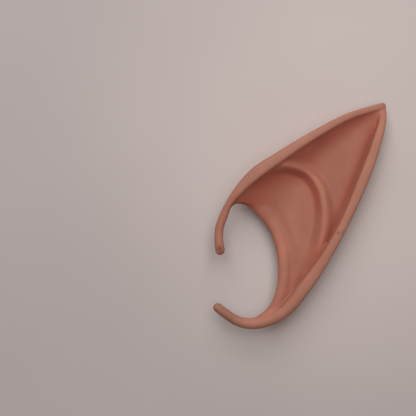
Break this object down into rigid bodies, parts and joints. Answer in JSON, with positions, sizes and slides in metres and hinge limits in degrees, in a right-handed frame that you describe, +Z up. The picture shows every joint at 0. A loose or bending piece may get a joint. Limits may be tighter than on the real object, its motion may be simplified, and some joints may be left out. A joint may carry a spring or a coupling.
{
  "type": "prosthetic pointed ear",
  "caption": "Pointed slip-on costume ear of soft latex: a hollow pouch with rolled rims and free hooks that pulls over the top and back of a real ear.",
  "frame": {"origin": "under the middle of the bounding box, on the plane that the ear lies on", "axes": "+Z up out of the ear's front as it lies on its back, +Y towards the end with the tip, +X towards the side of the back rim"},
  "size_m": [0.08, 0.1044, 0.0198],
  "materials": {
    "latex": "matte skin-toned cast latex"
  },
  "bodies": {
    "root": {"ear_shell": "latex"}
  },
  "joints": []
}
